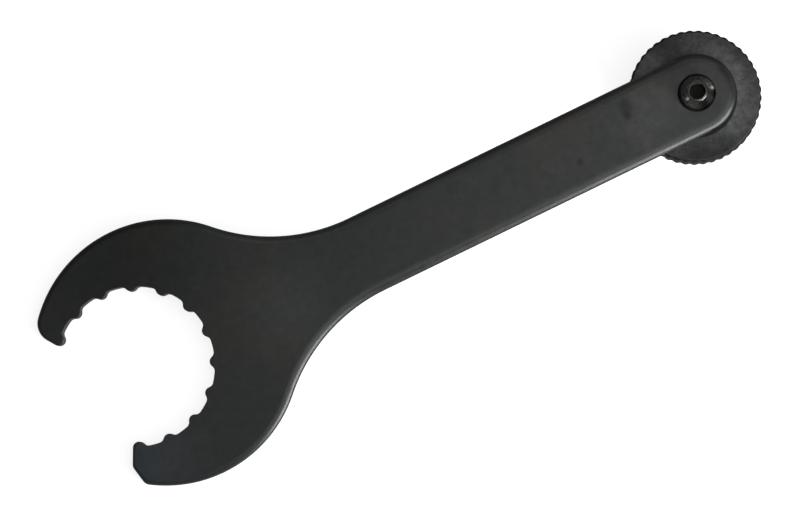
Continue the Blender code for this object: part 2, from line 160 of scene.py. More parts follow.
def belt(bm, circles, height, fineness):
    """Draws the closed outline, and returns its corners with (circle, share of its arc)."""
    headings = [heading(circles[i], circles[(i + 1) % len(circles)]) for i in range(len(circles))]
    corners = []
    places = []
    for i, (centre, radius) in enumerate(circles):
        turn = (headings[i] - headings[i - 1]) % math.tau
        if radius < 0:
            turn -= math.tau
        pieces = max(2, math.ceil(abs(turn) / (2 * math.acos(1 - fineness / abs(radius)))))
        first = centre + radius * Vector((math.sin(headings[i - 1]), -math.cos(headings[i - 1])))
        known = len(bm.verts)
        vert = bm.verts.new((first.x, first.y, height))
        bmesh.ops.spin(
            bm,
            geom=[vert],
            cent=(centre.x, centre.y, height),
            axis=(0, 0, 1),
            angle=turn,
            steps=pieces,
        )
        bm.verts.ensure_lookup_table()
        new = bm.verts[known:]
        if corners:
            bm.edges.new((corners[-1], new[0]))
        corners.extend(new)
        places.extend((i, k / pieces) for k in range(len(new)))
    bm.edges.new((corners[-1], corners[0]))
    return corners, places


# %% [markdown]
# ## The wrench's plate
# The real plate is stamped from 4.5 mm steel, tumbled so that its edges are rolled round, and
# coated black. The jaw's ring has a small rounded tooth at every sixteenth of a turn, except at
# the mouth. The outline's sizes are measured from the photograph, at the scale that a 44 mm bottom
# bracket cup gives. The thickness, which doesn't show there, is what such wrenches have.

# %% Sizes of the plate
PLATE_THICKNESS = 0.0045
PIVOT_DISTANCE = 0.1737
HANDLE_WIDTH = 0.0225
NECK_RADIUS = 0.0500
GROOVE_RADIUS = 0.02235
JAW_WALL = 0.01477
JAW_RADIUS = GROOVE_RADIUS + JAW_WALL
JAW_CENTRE = Vector((0.0096, -0.0002))
TOOTH_PLACES = 16
TOOTH_PITCH = math.tau / TOOTH_PLACES
TOOTH_HEIGHT = 0.0014
NOSE_RADIUS = 0.0017
FILLET_RADIUS = 0.0017
FIRST_TOOTH = 6
LAST_TOOTH = -5
SHOULDER_RADIUS = 0.0055
SHOULDER_DEGREES = 139.4
LOWER_TIP_LENGTH = 0.0050
LOWER_TIP_RADIUS = 0.0020
CORNER_RADIUS = 0.0025
CORNER_DEGREES = 237.2


# %% Circles of the ring and of the whole plate
def at(radius, angle):
    """The point at this distance and angle from the ring's centre."""
    return Vector((radius * math.cos(angle), radius * math.sin(angle)))


def ring_circles():
    """Signed circles of the teeth and grooves, from the upper tip to the lower tip."""
    nose_at = GROOVE_RADIUS - TOOTH_HEIGHT + NOSE_RADIUS
    fillet_at = GROOVE_RADIUS - FILLET_RADIUS
    reach = NOSE_RADIUS + FILLET_RADIUS
    spread = math.acos((nose_at**2 + fillet_at**2 - reach**2) / (2 * nose_at * fillet_at))
    circles = []
    for place in range(FIRST_TOOTH, LAST_TOOTH - 1, -1):
        angle = place * TOOTH_PITCH
        if place < FIRST_TOOTH:
            circles.append((Vector((0.0, 0.0)), -GROOVE_RADIUS))
            circles.append((at(fillet_at, angle + spread), -FILLET_RADIUS))
        circles.append((at(nose_at, angle), NOSE_RADIUS))
        if place > LAST_TOOTH:
            circles.append((at(fillet_at, angle - spread), -FILLET_RADIUS))
    return circles


def plate_circles():
    """Signed circles of the whole plate, with the ring's centre at the origin."""
    half = HANDLE_WIDTH / 2
    necks = []
    for side in (1, -1):
        y = side * (half + NECK_RADIUS)
        reach = math.sqrt((JAW_RADIUS + NECK_RADIUS) ** 2 - (y - JAW_CENTRE.y) ** 2)
        necks.append(Vector((JAW_CENTRE.x + reach, y)))
    shoulder = JAW_CENTRE + at(JAW_RADIUS - SHOULDER_RADIUS, math.radians(SHOULDER_DEGREES))
    corner = JAW_CENTRE + at(JAW_RADIUS - CORNER_RADIUS, math.radians(CORNER_DEGREES))
    lower_tip = at(GROOVE_RADIUS + LOWER_TIP_LENGTH, LAST_TOOTH * TOOTH_PITCH)
    return [
        (Vector((PIVOT_DISTANCE, 0.0)), half),
        (necks[0], -NECK_RADIUS),
        (JAW_CENTRE, JAW_RADIUS),
        (shoulder, SHOULDER_RADIUS),
        *ring_circles(),
        (lower_tip, LOWER_TIP_RADIUS),
        (corner, CORNER_RADIUS),
        (JAW_CENTRE, JAW_RADIUS),
        (necks[1], -NECK_RADIUS),
    ]


print("the plate's outline wraps round", len(plate_circles()), "circles")

# %% [markdown]
# ### Edges rolled by different amounts
# The handle's edges are rolled much rounder than the jaw's, and the teeth are nearly sharp. A
# Bevel modifier can do this with weights: each edge of the rim says what share of the widest
# bevel it gets. The share changes slowly along each arc, from one circle's value to the next.
# The plate is first made too thick, and is flattened after the bevel. So its rolled edges come out
# wider than they are deep, as on the real one.

# %% How far each stretch of the rim is rolled
HANDLE_ROLL = 0.0030
JAW_ROLL = 0.0017
TIP_ROLL = 0.0010
TOOTH_ROLL = 0.0002
ROLL_FLATNESS = 1.4
ROLL_SEGMENTS = 10


def rolls_round(circles):
    """One rolling for each circle of the plate's outline."""
    nose = (TIP_ROLL + TOOTH_ROLL) / 2
    start = [HANDLE_ROLL, HANDLE_ROLL, JAW_ROLL, TIP_ROLL, nose]
    end = [nose, TIP_ROLL, TIP_ROLL, JAW_ROLL, HANDLE_ROLL]
    teeth = len(circles) - len(start) - len(end)
    return start + [TOOTH_ROLL] * teeth + end


def roll_at(rolls, place):
    """The rolling at a place on the outline, blended from one circle to the next."""
    i, share = place
    before = (rolls[i - 1] + rolls[i]) / 2
    after = (rolls[i] + rolls[(i + 1) % len(rolls)]) / 2
    return before + (after - before) * share


# %% Extrude the plate and bevel its rims
PLATE_FINENESS = 0.000003
HOLE_RADIUS = 0.0033
HOLE_STEPS = 96


def rolled_plate():
    """The plate without its hole, too thick, with a bevel weight on each edge of its rims."""
    circles = plate_circles()
    rolls = rolls_round(circles)
    bm = bmesh.new()
    corners, places = belt(bm, circles, 0.0, PLATE_FINENESS)
    finder = kdtree.KDTree(len(corners))
    for i, corner in enumerate(corners):
        finder.insert(corner.co, i)
    finder.balance()
    bmesh.ops.remove_doubles(bm, verts=corners, dist=WELD)
    face = bmesh.ops.contextual_create(bm, geom=bm.edges[:])["faces"][0]
    grown = bmesh.ops.extrude_face_region(bm, geom=[face])["geom"]
    under = [item for item in grown if isinstance(item, bmesh.types.BMVert)]
    bmesh.ops.translate(bm, verts=under, vec=(0, 0, -PLATE_THICKNESS * ROLL_FLATNESS))
    bmesh.ops.recalc_face_normals(bm, faces=bm.faces[:])
    weight = bm.edges.layers.float.new("bevel_weight_edge")
    for edge in bm.edges:
        ends = [vert.co for vert in edge.verts]
        if abs(ends[0].z - ends[1].z) < WELD:
            closest = [finder.find((end.x, end.y, 0.0))[1] for end in ends]
            edge[weight] = sum(roll_at(rolls, places[k]) for k in closest) / 2 / HANDLE_ROLL
    bmesh.ops.translate(bm, verts=bm.verts[:], vec=(-PIVOT_DISTANCE, 0, 0))
    return bm


def with_modifiers_applied(bm, name, add_modifiers):
    """Runs modifiers on a bmesh and returns the result as a new bmesh."""
    mesh = bpy.data.meshes.new(name)
    bm.to_mesh(mesh)
    bm.free()
    raw = in_scene(name, mesh)
    add_modifiers(raw)
    made = bmesh.new()
    made.from_object(raw, bpy.context.evaluated_depsgraph_get())
    bpy.data.objects.remove(raw)
    return made


def roll_the_rims(raw):
    """The Bevel modifier that rolls the plate's edges by their weights."""
    roll = raw.modifiers.new("rolled_edges", "BEVEL")
    roll.limit_method = "WEIGHT"
    roll.width = HANDLE_ROLL
    roll.segments = ROLL_SEGMENTS
    roll.use_clamp_overlap = False


plate_bm = with_modifiers_applied(rolled_plate(), "plate_blank", roll_the_rims)
bmesh.ops.scale(plate_bm, vec=(1, 1, 1 / ROLL_FLATNESS), verts=plate_bm.verts[:])
print("the rolled plate has", len(plate_bm.faces), "faces")

# %% [markdown]
# ### The pivot's hole
# The two flat faces are single faces with hundreds of corners. Each is taken out and filled again
# around a circle, and the two circles are bridged, which makes the wall of the hole. A Boolean
# could cut it as well, but it would leave long thin faces round the hole, which shade badly.

# %% Open the hole for the screw
def ring_of_edges(bm, radius, height, steps):
    """A circle of edges round the Z axis."""
    made = bmesh.ops.create_circle(bm, cap_ends=False, radius=radius, segments=steps)
    bmesh.ops.translate(bm, verts=made["verts"], vec=(0, 0, height))
    return list({edge for vert in made["verts"] for edge in vert.link_edges})


def fill_flat(bm, edges, up):
    """Fills the flat space between closed outlines."""
    bmesh.ops.triangle_fill(bm, use_beauty=True, edges=edges, normal=(0, 0, up))


def open_hole(bm):
    """Cuts the pivot's hole through the plate's two flat faces."""
    flats = sorted(bm.faces, key=lambda face: len(face.verts))[-2:]
    circles = []
    for flat in flats:
        border = list(flat.edges)
        height = flat.verts[0].co.z
        up = 1.0 if height > -PLATE_THICKNESS / 2 else -1.0
        bmesh.ops.delete(bm, geom=[flat], context="FACES_ONLY")
        circle = ring_of_edges(bm, HOLE_RADIUS, height, HOLE_STEPS)
        fill_flat(bm, border + circle, up)
        circles += circle
    bmesh.ops.bridge_loops(bm, edges=circles)


open_hole(plate_bm)
print("with its hole it has", len(plate_bm.faces), "faces")

# %% [markdown]
# ## The coating of the plate
# The plate is coated satin black, over steel. One flat dark colour would look like paper: the real
# coat is slightly mottled, a little browner here and bluer there, and its fine grain softens what
# it mirrors. Noise at four sizes does this, with no picture and no unwrapping. All of it is on
# Object coordinates, so that the pattern stays on the piece when it turns or is exported.

# %% Helpers for every finish
def finish_of(name, colour, roughness, metallic=0.0):
    """A new Principled finish, with its node tree and its shader."""
    finish = bpy.data.materials.new(name)
    finish.use_nodes = True
    shader = finish.node_tree.nodes["Principled BSDF"]
    shader.inputs["Base Color"].default_value = (*colour, 1.0)
    shader.inputs["Roughness"].default_value = roughness
    shader.inputs["Metallic"].default_value = metallic
    return finish, finish.node_tree, shader


def cloud(tree, place, scale, detail, rough=0.5):
    """A Noise texture on Object coordinates. Its scale is in clouds for each metre."""
    noise = tree.nodes.new("ShaderNodeTexNoise")
    noise.inputs["Scale"].default_value = scale
    noise.inputs["Detail"].default_value = detail
    noise.inputs["Roughness"].default_value = rough
    tree.links.new(place.outputs["Object"], noise.inputs["Vector"])
    return noise.outputs["Fac"]


def ramp(tree, source, stops):
    """A Color Ramp through (position, grey or colour) stops."""
    made = tree.nodes.new("ShaderNodeValToRGB")
    while len(made.color_ramp.elements) < len(stops):
        made.color_ramp.elements.new(0.5)
    for element, (position, colour) in zip(made.color_ramp.elements, stops):
        element.position = position
        element.color = (*colour, 1.0) if isinstance(colour, tuple) else (colour, colour, colour, 1.0)
    tree.links.new(source, made.inputs["Fac"])
    return made.outputs["Color"]


def mixed(tree, first, second, share, blend="MIX"):
    """Mixes two colours. The second and the share may be fixed values."""
    mix = tree.nodes.new("ShaderNodeMix")
    mix.data_type = "RGBA"
    mix.blend_type = blend
    share_in, first_in, second_in = mix.inputs[0], mix.inputs[6], mix.inputs[7]
    tree.links.new(first, first_in)
    if isinstance(second, tuple):
        second_in.default_value = (*second, 1.0)
    else:
        tree.links.new(second, second_in)
    if isinstance(share, float):
        share_in.default_value = share
    else:
        tree.links.new(share, share_in)
    return mix.outputs[2]


def bumped(tree, shader, source, strength, distance):
    """Puts a height pattern on a shader's Normal."""
    bump = tree.nodes.new("ShaderNodeBump")
    bump.inputs["Strength"].default_value = strength
    bump.inputs["Distance"].default_value = distance
    tree.links.new(source, bump.inputs["Height"])
    tree.links.new(bump.outputs["Normal"], shader.inputs["Normal"])


# %% [markdown]
# Wear and dirt have their places, so they need masks. A Mapping node of type Texture brings Object
# coordinates back into the tool's own frame, where the pivot is the origin. A mask there is a soft
# step in one coordinate, or in the distance from a point. On the screw and the wheel the height is
# left out of it, so that a patch goes straight down through the piece.

# %% Masks in the tool's own frame
def tool_place(tree, place):
    """Coordinates in the tool's own frame, with the pivot at the origin."""
    laid = tree.nodes.new("ShaderNodeMapping")
    laid.vector_type = "TEXTURE"
    laid.inputs["Location"].default_value = lay_down.translation
    laid.inputs["Rotation"].default_value = lay_down.to_euler()
    tree.links.new(place.outputs["Object"], laid.inputs["Vector"])
    return laid.outputs["Vector"]


def flattened(tree, where, scale=1.0):
    """The same coordinates, scaled and without their height."""
    flat = tree.nodes.new("ShaderNodeVectorMath")
    flat.operation = "MULTIPLY"
    flat.inputs[1].default_value = (scale, scale, 0.0)
    tree.links.new(where, flat.inputs[0])
    return flat.outputs["Vector"]


def reach_of(tree, where):
    """The distance of coordinates from their origin."""
    reach = tree.nodes.new("ShaderNodeVectorMath")
    reach.operation = "LENGTH"
    tree.links.new(where, reach.inputs[0])
    return reach.outputs["Value"]


def fade(tree, value, start, end):
    """A smooth step: 0 where the value is at its start, and 1 at its end."""
    step = tree.nodes.new("ShaderNodeMapRange")
    step.interpolation_type = "SMOOTHSTEP"
    step.inputs["From Min"].default_value = start
    step.inputs["From Max"].default_value = end
    tree.links.new(value, step.inputs["Value"])
    return step.outputs["Result"]


def near(tree, where, centre, radius):
    """A soft round mask: 1 at its centre, and 0 from its radius outwards."""
    apart = tree.nodes.new("ShaderNodeVectorMath")
    apart.operation = "DISTANCE"
    apart.inputs[1].default_value = centre
    tree.links.new(where, apart.inputs[0])
    return fade(tree, apart.outputs["Value"], radius, 0.0)


def times(tree, first, second):
    """The product of a value and another value or a fixed number."""
    product = tree.nodes.new("ShaderNodeMath")
    product.operation = "MULTIPLY"
    tree.links.new(first, product.inputs[0])
    if isinstance(second, float):
        product.inputs[1].default_value = second
    else:
        tree.links.new(second, product.inputs[1])
    return product.outputs["Value"]


def patched(tree, tint, where, patches, blend="MULTIPLY"):
    """Puts soft round patches on a colour. Each one is a (place, radius, tone)."""
    for (x, y), radius, tone in patches:
        mask = near(tree, where, (x, y, 0.0), radius)
        tint = mixed(tree, tint, tone, mask, blend)
    return tint


# %% [markdown]
# The coat carries four kinds of marks: small oily stains near the screw, and wide places painted
# lighter or darker as painted light and shade. The shoulders of the rolled edges are painted lighter,
# most on the upper side, and darker towards their foot: painted highlight and shade. Last, the foot of
# the round end, where the plate hangs over the wheel, is painted dark, a painted shade.

# %% Satin black coat
COAT_COLOUR = (0.045, 0.046, 0.045)
COAT_EDGE_TINT = (0.2, 0.2, 0.2, 1.0)
COAT_TONES = [(0.36, (0.043, 0.0465, 0.046)), (0.52, (0.045, 0.047, 0.046)), (0.70, (0.050, 0.0485, 0.0455))]
COAT_BLOTCHES = [(0.32, 0.84), (0.68, 1.0)]
COAT_SHEEN = [(0.30, 0.33), (0.70, 0.44)]
STAIN = (0.62, 0.62, 0.60)
COAT_STAINS_AND_PAINTED_LIGHT = [
    ((-0.0195, 0.0054), 0.0036, STAIN),
    ((-0.0202, 0.0027), 0.0022, STAIN),
    ((-0.0375, -0.0031), 0.0018, STAIN),
    # The four wide places below are painted light and shade.
    ((-0.1654, 0.0290), 0.036, (0.70, 0.70, 0.70)),
    ((-0.1290, -0.0040), 0.020, (1.30, 1.30, 1.30)),
    ((-0.1800, -0.0261), 0.020, (1.20, 1.32, 1.50)),
    ((-0.0145, 0.0006), 0.014, (1.25, 1.25, 1.25)),
]
SHOULDER_DEPTH = 0.0018
SHOULDER_START = (-0.155, -0.125)
UPPER_SIDE = (0.002, 0.006)
LOWER_SIDE = (-0.002, -0.006)
# Painted light and shade on the rolled edges: lighter shoulders, darker towards their foot.
UPPER_EDGE_PAINTED_LIGHT = [(0.0, 1.0), (0.03, 1.7), (0.075, 2.25), (0.12, 1.95), (0.25, 1.40), (0.42, 0.70)]
LOWER_EDGE_PAINTED_LIGHT = [(0.0, 1.0), (0.02, 1.0), (0.06, 1.18), (0.10, 1.28), (0.16, 1.02), (0.24, 0.80), (0.42, 0.76)]
# Painted shade on the foot of the round end, over the wheel.
END_SHADE_HEIGHTS = (-0.0007, -0.0013)
END_SHADE_START = (-0.0020, 0.0)
END_PAINTED_SHADE = (0.28, 0.28, 0.27)


def marked(tree, tint, where):
    """The coat's colour with its stains, and its painted light and shade on wide places and edges."""
    # Stains, and painted light and shade on wide places.
    tint = patched(tree, tint, where, COAT_STAINS_AND_PAINTED_LIGHT)
    split = tree.nodes.new("ShaderNodeSeparateXYZ")
    tree.links.new(where, split.inputs["Vector"])
    along, across, height = (split.outputs[axis] for axis in "XYZ")
    depth = times(tree, height, -1 / SHOULDER_DEPTH)
    handle = fade(tree, along, *SHOULDER_START)
    # Painted highlight and shade on the shoulders of the rolled edges.
    for side, painted_edge_light in ((UPPER_SIDE, UPPER_EDGE_PAINTED_LIGHT), (LOWER_SIDE, LOWER_EDGE_PAINTED_LIGHT)):
        mask = times(tree, fade(tree, across, *side), handle)
        tint = mixed(tree, tint, ramp(tree, depth, painted_edge_light), mask, "MULTIPLY")
    # Painted shade at the round end's foot.
    foot = fade(tree, height, *END_SHADE_HEIGHTS)
    end = fade(tree, along, *END_SHADE_START)
    return mixed(tree, tint, END_PAINTED_SHADE, times(tree, foot, end), "MULTIPLY")


def black_coat():
    """Satin black coat on steel: mottled and stained, with painted light and shade, and a fine grain."""
    finish, tree, shader = finish_of("satin_black_coat", COAT_COLOUR, roughness=0.40, metallic=0.75)
    shader.inputs["Specular Tint"].default_value = COAT_EDGE_TINT
    place = tree.nodes.new("ShaderNodeTexCoord")
    mottle = cloud(tree, place, scale=45.0, detail=3.0, rough=0.6)
    tint = ramp(tree, mottle, COAT_TONES)
    blotches = cloud(tree, place, scale=420.0, detail=4.0, rough=0.7)
    shade = ramp(tree, blotches, COAT_BLOTCHES)
    tint = mixed(tree, tint, shade, 1.0, "MULTIPLY")
    tint = marked(tree, tint, tool_place(tree, place))
    tree.links.new(tint, shader.inputs["Base Color"])
    wear = cloud(tree, place, scale=260.0, detail=5.0, rough=0.7)
    tree.links.new(ramp(tree, wear, COAT_SHEEN), shader.inputs["Roughness"])
    grain = cloud(tree, place, scale=1800.0, detail=3.0)
    bumped(tree, shader, grain, strength=0.25, distance=0.00004)
    return finish


plate = piece_from("wrench_plate", plate_bm, sharp_degrees=50)
stands_for(plate, "wrench_body", "wrench", black_coat())

# %% [markdown]
# ## The pivot's stack, from the plate down
# The screw goes down through the plate, a washer and the wheel, into a nut. The heights follow
# one from another, with a small gap at each seat, just as in the CAD model.

# %% Heights along the pivot
SEAT = 0.0003
WASHER_THICKNESS = 0.0020
WHEEL_THICKNESS = 0.0080
DRIVER_HEIGHT = 0.0050
NUT_HEIGHT = 0.0060
NUT_RECESS = 0.0007
SCREW_STAND = 0.0003
washer_top = -PLATE_THICKNESS - SEAT
wheel_top = washer_top - WASHER_THICKNESS - SEAT
wheel_bottom = wheel_top - WHEEL_THICKNESS
driver_end = wheel_bottom - DRIVER_HEIGHT
nut_bottom = driver_end + NUT_RECESS
pocket_floor = nut_bottom + NUT_HEIGHT + SEAT
screw_tip = nut_bottom - SCREW_STAND
print("the screw reaches", round(-screw_tip * 1000, 1), "mm below the plate's upper face")

# %% [markdown]
# ## The screw
# It is a button-head screw: a low dome with a flat crown and a hexagon socket. The screw is spun
# from a profile that stops at the socket's mouth. The shank's corners are pushed in along a helix,
# which makes a thread that tapers at the tip more simply than a wound coil would. The open rim at
# the mouth is then extruded: pushed onto a hexagon for the socket's wall, down to its floor, and
# into the drill's cone.

# %% Sizes of the screw
HEAD_RADIUS = 0.00525
HEAD_HEIGHT = 0.0033
HEAD_RIM = 0.0005
HEAD_EDGE = 0.00015
CROWN_RADIUS = 0.0030
SHANK_RADIUS = 0.0030
THREAD_PITCH = 0.0010
THREAD_DEPTH = 0.00055
THREAD_ROWS = 8
SOCKET_HALF = 0.0020
SOCKET_DEPTH = 0.0024
DRILL_RADIUS = 0.0018
DRILL_CONE = 0.0010
SOCKET_MOUTH = 0.0024
SOCKET_LIP = 0.00025
SOCKET_TURN = math.radians(-26)
TURNED_STEPS = 96
SOCKET_FINISH = 1
LIP_FINISH = 2


# %% Push corners onto a hexagon
def hexagon(half_flats, angle):
    """Distance from the centre to a hexagon's side, in this direction, corners on the X axis."""
    sixth = math.tau / 6
    return half_flats / math.cos((angle % sixth) - sixth / 2)


def push_to_hexagon(verts, half_flats, height):
    """Moves corners straight in or out onto a hexagon, at one height."""
    for vert in verts:
        angle = math.atan2(vert.co.y, vert.co.x)
        radius = hexagon(half_flats, angle)
        vert.co = (radius * math.cos(angle), radius * math.sin(angle), height)


def extrude_rim(bm, edges):
    """Extrudes a loop of edges where it is, and returns the new corners and edges."""
    grown = bmesh.ops.extrude_edge_only(bm, edges=edges)["geom"]
    verts = [item for item in grown if isinstance(item, bmesh.types.BMVert)]
    rim = [item for item in grown if isinstance(item, bmesh.types.BMEdge) and item.is_boundary]
    return verts, rim


def rim_at(bm, height, tolerance=1e-5):
    """The open edges that lie at one height."""
    flat = []
    for edge in bm.edges:
        if edge.is_boundary and all(abs(vert.co.z - height) < tolerance for vert in edge.verts):
            flat.append(edge)
    return flat


# %% Spin and socket the screw
def screw_profile():
    """Half of the screw's outline, from the socket's mouth out, down and in to its tip."""
    top = SEAT + HEAD_HEIGHT
    rim = SEAT + HEAD_RIM
    centre = (CROWN_RADIUS**2 + top**2 - HEAD_RADIUS**2 - rim**2) / (2 * (top - rim))
    dome = math.hypot(CROWN_RADIUS, top - centre)
    crown_degrees = math.degrees(math.atan2(top - centre, CROWN_RADIUS))
    rim_degrees = math.degrees(math.atan2(rim - centre, HEAD_RADIUS))
    points = [(SOCKET_MOUTH, top)]
    points += arc((SOCKET_MOUTH + SOCKET_LIP, top - SOCKET_LIP), SOCKET_LIP, 90, 20, pieces=6)
    points += arc((0.0, centre), dome, crown_degrees, rim_degrees, pieces=14)
    points += [(HEAD_RADIUS, SEAT + HEAD_EDGE), (HEAD_RADIUS - HEAD_EDGE, SEAT), (SHANK_RADIUS, SEAT)]
    rows = round((SEAT - screw_tip) / THREAD_PITCH * THREAD_ROWS)
    points += [(SHANK_RADIUS, SEAT + (screw_tip - SEAT) * k / rows) for k in range(1, rows + 1)]
    points.append((0.0, screw_tip))
    return points


def cut_thread(verts):
    """Pushes the shank's corners in along a helix. It starts under the head, and the tip tapers."""
    for vert in verts:
        radius = vert.co.xy.length
        if vert.co.z < SEAT - WELD and radius > SHANK_RADIUS - WELD:
            turn = math.atan2(vert.co.y, vert.co.x) / math.tau
            phase = abs(((vert.co.z / THREAD_PITCH + turn) % 1.0) - 0.5) * 2
            start = min(1.0, (SEAT - vert.co.z) / THREAD_PITCH)
            tip = max(0.0, 1.0 - (vert.co.z - screw_tip) / THREAD_PITCH)
            depth = THREAD_DEPTH * max(phase * start, tip)
            vert.co.xy *= (SHANK_RADIUS - depth) / radius


def make_screw():
    """The screw, from its domed head to its threaded tip. A shallow funnel leads into the socket."""
    bm = bmesh.new()
    verts = spun(bm, screw_profile(), TURNED_STEPS)
    bmesh.ops.remove_doubles(bm, verts=bm.verts[:], dist=WELD)
    cut_thread([vert for vert in verts if vert.is_valid])
    top = SEAT + HEAD_HEIGHT
    mouth = top - (SOCKET_MOUTH - SOCKET_HALF / math.cos(math.pi / 6)) / 2
    floor = top - SOCKET_DEPTH
    verts, rim = extrude_rim(bm, rim_at(bm, top))
    push_to_hexagon(verts, SOCKET_HALF, mouth)
    verts, rim = extrude_rim(bm, rim)
    push_to_hexagon(verts, SOCKET_HALF, floor)
    verts, rim = extrude_rim(bm, rim)
    for vert in verts:
        vert.co.xy *= DRILL_RADIUS / vert.co.xy.length
    verts, rim = extrude_rim(bm, rim)
    bmesh.ops.pointmerge(bm, verts=verts, merge_co=(0, 0, floor - DRILL_CONE))
    for face in bm.faces:
        middle = face.calc_center_median()
        if middle.xy.length < SOCKET_MOUTH + 2 * SOCKET_LIP and middle.z > mouth:
            face.material_index = LIP_FINISH
        elif middle.xy.length < SOCKET_MOUTH and middle.z > SEAT:
            face.material_index = SOCKET_FINISH
    bmesh.ops.rotate(bm, cent=(0, 0, 0), matrix=Matrix.Rotation(SOCKET_TURN, 3, "Z"), verts=bm.verts[:])
    return piece_from("button_head_screw", bm, sharp_degrees=35)


# %% [markdown]
# ### The screw's finishes
# Screws like this are blued: a thin black oxide, duller than the plate's coat. It is speckled where
# the oxide has rubbed thin, and dark and oily on one side, a grease stain that also paints shade where
# the low lamp lights it. Its rim is painted black, a painted shade where the head meets the plate.
# Two small light spots sit on the dome, and the socket's lip shows bare steel, with a painted
# highlight on one side. Each of these three has its own material: the black head, the socket painted
# near black as painted shade, and the bare lip.

# %% Black oxide finish
OXIDE_COLOUR = (0.030, 0.030, 0.029)
OXIDE_TONES = [(0.38, (0.020, 0.021, 0.021)), (0.64, (0.080, 0.080, 0.077))]
OXIDE_SHEEN = [(0.30, 0.55), (0.75, 0.72)]
# Painted shade round the head's rim, where it meets the plate.
HEAD_RIM_PAINTED_SHADE = [(0.84, 1.0), (0.93, 0.20)]
# A grease stain, which also paints shade on the side that the low lamp lights.
GREASE_AND_PAINTED_SHADE = (0.06, 0.06, 0.045)
GREASE_AND_SHADE_PATCHES = [((0.0004, -0.0043), 0.0066, GREASE_AND_PAINTED_SHADE), ((0.0042, -0.0024), 0.0030, GREASE_AND_PAINTED_SHADE)]
# Two small light spots on the dome.
HEAD_LIGHT_SPOTS = [
    ((0.0042, -0.0007), 0.00080, (0.20, 0.20, 0.19)),
    ((-0.0034, -0.0006), 0.00070, (0.38, 0.38, 0.37)),
]


def black_oxide():
    """Blued steel, speckled, greasy on one side, with painted shade and two small light spots."""
    finish, tree, shader = finish_of("black_oxide", OXIDE_COLOUR, roughness=0.6)
    shader.inputs["Specular IOR Level"].default_value = 0.0
    place = tree.nodes.new("ShaderNodeTexCoord")
    specks = cloud(tree, place, scale=2200.0, detail=3.0, rough=0.7)
    tint = ramp(tree, specks, OXIDE_TONES)
    where = flattened(tree, tool_place(tree, place))
    # The grease patches also paint shade on the lit side.
    tint = patched(tree, tint, where, GREASE_AND_SHADE_PATCHES)
    share = reach_of(tree, flattened(tree, where, 1 / HEAD_RADIUS))
    # Painted shade round the head's rim.
    tint = mixed(tree, tint, ramp(tree, share, HEAD_RIM_PAINTED_SHADE), 1.0, "MULTIPLY")
    tint = patched(tree, tint, where, HEAD_LIGHT_SPOTS, blend="MIX")
    tree.links.new(tint, shader.inputs["Base Color"])
    tree.links.new(ramp(tree, specks, OXIDE_SHEEN), shader.inputs["Roughness"])
    grain = cloud(tree, place, scale=4000.0, detail=2.0)
    bumped(tree, shader, grain, strength=0.2, distance=0.00002)
    return finish


# %% Bare steel and dry grease round the socket
STEEL_COLOUR = (0.20, 0.20, 0.195)
STEEL_TONES = [(0.38, (0.50, 0.50, 0.49)), (0.62, (0.85, 0.85, 0.83))]
STEEL_SHEEN = [(0.3, 0.30), (0.7, 0.48)]
# A painted highlight: the lip is lighter on one side and darker elsewhere.
LIP_HIGHLIGHT_PLACE = (0.0006, -0.0023, 0.0)
LIP_HIGHLIGHT_RADIUS = 0.0026
LIP_HIGHLIGHT_TONES = [(0.0, 0.07), (0.6, 0.20), (1.0, 0.50)]
# Painted shade on the lip's inner edge, where it drops into the socket.
LIP_SHADE_REACH = (0.00230, 0.00214)
LIP_PAINTED_SHADE = (0.02, 0.02, 0.02)
# The socket is painted near black: painted shade in its recess.
SOCKET_SHADE_COLOUR = (0.004, 0.004, 0.004)
SOCKET_SHADE_TONES = [(0.35, (0.014, 0.014, 0.014)), (0.70, (0.036, 0.033, 0.030))]


def bare_steel():
    """The socket's lip, bare where keys rubbed the black away, with painted highlight and shade."""
    finish, tree, shader = finish_of("bare_steel", STEEL_COLOUR, roughness=0.35, metallic=1.0)
    place = tree.nodes.new("ShaderNodeTexCoord")
    nicks = cloud(tree, place, scale=2600.0, detail=3.0, rough=0.7)
    tint = ramp(tree, nicks, STEEL_TONES)
    where = flattened(tree, tool_place(tree, place))
    # Painted highlight on one side of the lip.
    lip_highlight_mask = near(tree, where, LIP_HIGHLIGHT_PLACE, LIP_HIGHLIGHT_RADIUS)
    tint = mixed(tree, tint, ramp(tree, lip_highlight_mask, LIP_HIGHLIGHT_TONES), 1.0, "MULTIPLY")
    # Painted shade at the lip's inner edge.
    inner = fade(tree, reach_of(tree, where), *LIP_SHADE_REACH)
    tint = mixed(tree, tint, LIP_PAINTED_SHADE, inner, "MULTIPLY")
    tree.links.new(tint, shader.inputs["Base Color"])
    tree.links.new(ramp(tree, nicks, STEEL_SHEEN), shader.inputs["Roughness"])
    return finish


def socket_painted_shade():
    """Near black in the socket, a painted shade in its recess."""
    finish, tree, shader = finish_of("socket_painted_shade", SOCKET_SHADE_COLOUR, roughness=0.85)
    shader.inputs["Specular IOR Level"].default_value = 0.15
    place = tree.nodes.new("ShaderNodeTexCoord")
    shade_mottle = cloud(tree, place, scale=2500.0, detail=3.0)
    tree.links.new(ramp(tree, shade_mottle, SOCKET_SHADE_TONES), shader.inputs["Base Color"])
    bumped(tree, shader, shade_mottle, strength=0.4, distance=0.00005)
    return finish


screw = make_screw()
stands_for(screw, "pivot_screw", "driver", black_oxide())
screw.data.materials.append(socket_painted_shade())
screw.data.materials.append(bare_steel())

# %% [markdown]
# ## The washer
# A thick nylon washer keeps the wheel off the plate. Its section is a small rectangle with
# rounded corners, closed on itself, so that the spin makes a whole ring. Nylon lets some light in,
# and years of grease have dulled this one. Two shares say how much of the clean colour is left,
# where the grease is thickest and where it is thinnest.

